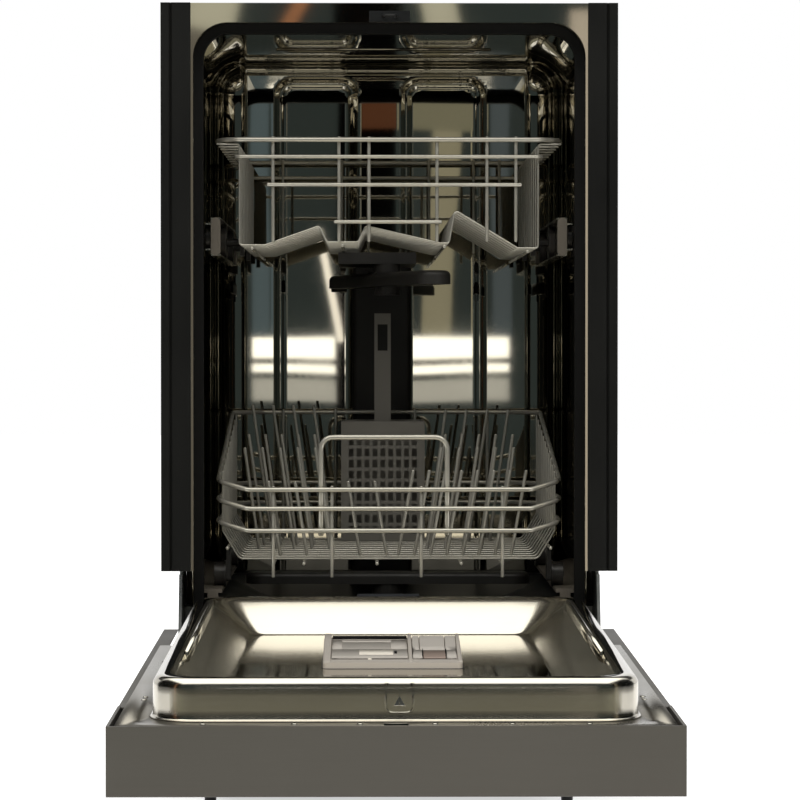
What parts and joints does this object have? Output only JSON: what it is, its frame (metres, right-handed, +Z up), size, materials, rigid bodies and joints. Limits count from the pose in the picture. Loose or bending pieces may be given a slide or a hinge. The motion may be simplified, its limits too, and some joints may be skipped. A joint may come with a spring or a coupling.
{
  "type": "built-in dishwasher",
  "caption": "Slim built-in dishwasher with its door folded down, a polished tub, wire racks that roll out, a cutlery basket and a detergent dispenser in the door.",
  "frame": {"origin": "on the floor, under the middle of the bounding box with the door open", "axes": "+X to the right as seen from the front, +Y to the back of the machine, +Z up"},
  "size_m": [0.448, 1.1742, 0.825],
  "materials": {
    "tub_steel": "polished stainless steel",
    "frame_steel": "bright stainless steel",
    "liner_steel": "polished stainless steel",
    "zinc_steel": "zinc-plated steel",
    "black_trim": "satin black plastic",
    "black_rubber": "matt black rubber",
    "felt": "needled felt",
    "base_plastic": "moulded dark grey plastic",
    "dark_plastic": "moulded dark plastic",
    "sump_plastic": "moulded black plastic",
    "pump_metal": "painted motor housing",
    "valve_plastic": "white plastic",
    "filter_grey": "grey plastic",
    "rail_steel": "stainless steel",
    "cap_plastic": "grey-brown plastic",
    "roller_plastic": "dark acetal",
    "rack_coat": "warm grey nylon-coated wire",
    "door_front": "brown-grey brushed coating",
    "console_plastic": "brown-grey plastic",
    "board": "circuit board",
    "dispenser_grey": "warm grey plastic",
    "lid_grey": "pale grey plastic",
    "button_grey": "grey plastic",
    "screw_steel": "steel"
  },
  "bodies": {
    "cabinet": {"tub_shell": "tub_steel", "tub_floor": "sump_plastic", "front_flange": "frame_steel", "door_gasket": "black_rubber", "side_trim_left": "black_trim", "side_trim_right": "black_trim", "latch_strike": "black_trim", "insulation_jacket": "felt", "base_tray": "base_plastic", "kick_plate": "zinc_steel", "hinge_brackets": "zinc_steel", "hinge_cassettes": "zinc_steel", "roller_tracks": "dark_plastic", "rail_supports": "dark_plastic", "inner_pipe": "dark_plastic", "sump_bowl": "sump_plastic", "circulation_pump": "pump_metal", "drain_pump": "sump_plastic", "inlet_valve": "valve_plastic", "junction_box": "sump_plastic"},
    "door": {"door_outer_panel": "door_front", "door_liner": "liner_steel", "door_insulation": "felt", "control_panel": "console_plastic", "control_board": "board", "dispenser_body": "dispenser_grey", "latch_housing": "sump_plastic", "hinge_arms": "zinc_steel", "door_rails": "rail_steel", "door_screws": "screw_steel"},
    "upper_rack": {"upper_rack_frame": "rack_coat", "upper_rack_floor": "rack_coat", "upper_roller_mounts": "dark_plastic", "upper_spray_feed": "dark_plastic"},
    "rails": {"rack_rails": "rail_steel", "rail_end_caps": "cap_plastic"},
    "lower_rack": {"lower_rack_frame": "rack_coat", "lower_rack_floor": "rack_coat", "lower_rack_tines": "rack_coat", "lower_wheel_mounts": "dark_plastic"},
    "foot_front_left": {"foot_front_left": "black_trim"},
    "foot_front_right": {"foot_front_right": "black_trim"},
    "foot_rear_left": {"foot_rear_left": "black_trim"},
    "foot_rear_right": {"foot_rear_right": "black_trim"},
    "filter_cup": {"filter_cup": "filter_grey"},
    "lower_spray_arm": {"lower_spray_arm": "dark_plastic"},
    "wall_rollers_front": {"wall_rollers_front": "roller_plastic"},
    "wall_rollers_rear": {"wall_rollers_rear": "roller_plastic"},
    "detergent_lid": {"detergent_lid": "lid_grey"},
    "rinse_aid_lid": {"rinse_aid_lid": "lid_grey"},
    "latch_pawl": {"latch_pawl": "zinc_steel"},
    "power_button": {"power_button": "button_grey"},
    "program_button": {"program_button": "button_grey"},
    "start_button": {"start_button": "button_grey"},
    "upper_spray_arm": {"upper_spray_arm": "dark_plastic"},
    "upper_rollers_front": {"upper_rollers_front": "roller_plastic"},
    "upper_rollers_rear": {"upper_rollers_rear": "roller_plastic"},
    "lower_wheels_front": {"lower_wheels_front": "roller_plastic"},
    "lower_wheels_rear": {"lower_wheels_rear": "roller_plastic"},
    "cutlery_basket": {"cutlery_basket": "dark_plastic"}
  },
  "joints": [
    {"name": "door_hinge", "type": "hinge", "parent": "cabinet", "child": "door", "pos_m": [0, 0.05014, 0.185], "axis": [-1, 0, 0], "range_deg": [0, 91]},
    {"name": "upper_rack_slide", "type": "slide", "parent": "cabinet", "child": "upper_rack", "axis": [0, 1, 0], "range_m": [-0.3, 0]},
    {"name": "rail_slide", "type": "slide", "parent": "cabinet", "child": "rails", "axis": [0, 1, 0], "range_m": [-0.15, 0]},
    {"name": "lower_rack_slide", "type": "slide", "parent": "cabinet", "child": "lower_rack", "axis": [0, 1, 0], "range_m": [-0.33, 0]},
    {"name": "wall_rollers_front_spin", "type": "hinge", "parent": "cabinet", "child": "wall_rollers_front", "pos_m": [0, 0.14914, 0.598], "axis": [-1, 0, 0], "range_deg": [-754, 20]},
    {"name": "wall_rollers_rear_spin", "type": "hinge", "parent": "cabinet", "child": "wall_rollers_rear", "pos_m": [0, 0.25414, 0.598], "axis": [-1, 0, 0], "range_deg": [-754, 20]},
    {"name": "upper_rollers_front_spin", "type": "hinge", "parent": "upper_rack", "child": "upper_rollers_front", "pos_m": [0, 0.31054, 0.598], "axis": [-1, 0, 0], "range_deg": [-519, 20]},
    {"name": "upper_rollers_rear_spin", "type": "hinge", "parent": "upper_rack", "child": "upper_rollers_rear", "pos_m": [0, 0.47934, 0.598], "axis": [-1, 0, 0], "range_deg": [-519, 20]},
    {"name": "lower_wheels_front_spin", "type": "hinge", "parent": "lower_rack", "child": "lower_wheels_front", "pos_m": [0, 0.17014, 0.2588], "axis": [-1, 0, 0], "range_deg": [-1664, 20]},
    {"name": "lower_wheels_rear_spin", "type": "hinge", "parent": "lower_rack", "child": "lower_wheels_rear", "pos_m": [0, 0.46314, 0.2588], "axis": [-1, 0, 0], "range_deg": [-1664, 20]},
    {"name": "lower_arm_spin", "type": "hinge", "parent": "cabinet", "child": "lower_spray_arm", "pos_m": [0, 0.31914, 0.238], "axis": [0, 0, 1], "continuous": true},
    {"name": "upper_arm_spin", "type": "hinge", "parent": "upper_rack", "child": "upper_spray_arm", "pos_m": [0, 0.31914, 0.552], "axis": [0, 0, 1], "continuous": true},
    {"name": "filter_twist", "type": "hinge", "parent": "cabinet", "child": "filter_cup", "pos_m": [0, 0.24614, 0.14], "axis": [0, 0, 1], "range_deg": [0, 90]},
    {"name": "basket_lift", "type": "slide", "parent": "lower_rack", "child": "cutlery_basket", "axis": [0, 0, 1], "range_m": [0, 0.02]},
    {"name": "detergent_lid_hinge", "type": "hinge", "parent": "door", "child": "detergent_lid", "pos_m": [0, -0.17403, 0.22159], "axis": [-1, 0, 0], "range_deg": [0, 80]},
    {"name": "rinse_aid_lid_hinge", "type": "hinge", "parent": "door", "child": "rinse_aid_lid", "pos_m": [0, -0.17403, 0.22159], "axis": [-1, 0, 0], "range_deg": [0, 80]},
    {"name": "latch_pawl_hinge", "type": "hinge", "parent": "door", "child": "latch_pawl", "pos_m": [0, -0.56269, 0.1703], "axis": [1, 0, 0], "range_deg": [0, 25]},
    {"name": "power_button_press", "type": "slide", "parent": "door", "child": "power_button", "axis": [0, -0.0175, 0.9998], "range_m": [0, 0.0015], "stiffness_N_per_m": 400},
    {"name": "program_button_press", "type": "slide", "parent": "door", "child": "program_button", "axis": [0, -0.0175, 0.9998], "range_m": [0, 0.0015], "stiffness_N_per_m": 400},
    {"name": "start_button_press", "type": "slide", "parent": "door", "child": "start_button", "axis": [0, -0.0175, 0.9998], "range_m": [0, 0.0015], "stiffness_N_per_m": 400},
    {"name": "foot_front_left_screw", "type": "hinge", "parent": "cabinet", "child": "foot_front_left", "pos_m": [-0.18, 0.15814, 0], "axis": [0, 0, 1], "continuous": true},
    {"name": "foot_front_right_screw", "type": "hinge", "parent": "cabinet", "child": "foot_front_right", "pos_m": [0.18, 0.15814, 0], "axis": [0, 0, 1], "continuous": true},
    {"name": "foot_rear_left_screw", "type": "hinge", "parent": "cabinet", "child": "foot_rear_left", "pos_m": [-0.18, 0.53614, 0], "axis": [0, 0, 1], "continuous": true},
    {"name": "foot_rear_right_screw", "type": "hinge", "parent": "cabinet", "child": "foot_rear_right", "pos_m": [0.18, 0.53614, 0], "axis": [0, 0, 1], "continuous": true}
  ],
  "couplings": [
    {"joint": "rail_slide", "follows": "upper_rack_slide", "ratio": 0.5},
    {"joint": "wall_rollers_front_spin", "follows": "upper_rack_slide", "rad_per_m": 42.735},
    {"joint": "wall_rollers_rear_spin", "follows": "upper_rack_slide", "rad_per_m": 42.735},
    {"joint": "upper_rollers_front_spin", "follows": "upper_rack_slide", "rad_per_m": 29.07},
    {"joint": "upper_rollers_rear_spin", "follows": "upper_rack_slide", "rad_per_m": 29.07},
    {"joint": "lower_wheels_front_spin", "follows": "lower_rack_slide", "rad_per_m": 86.957},
    {"joint": "lower_wheels_rear_spin", "follows": "lower_rack_slide", "rad_per_m": 86.957}
  ]
}
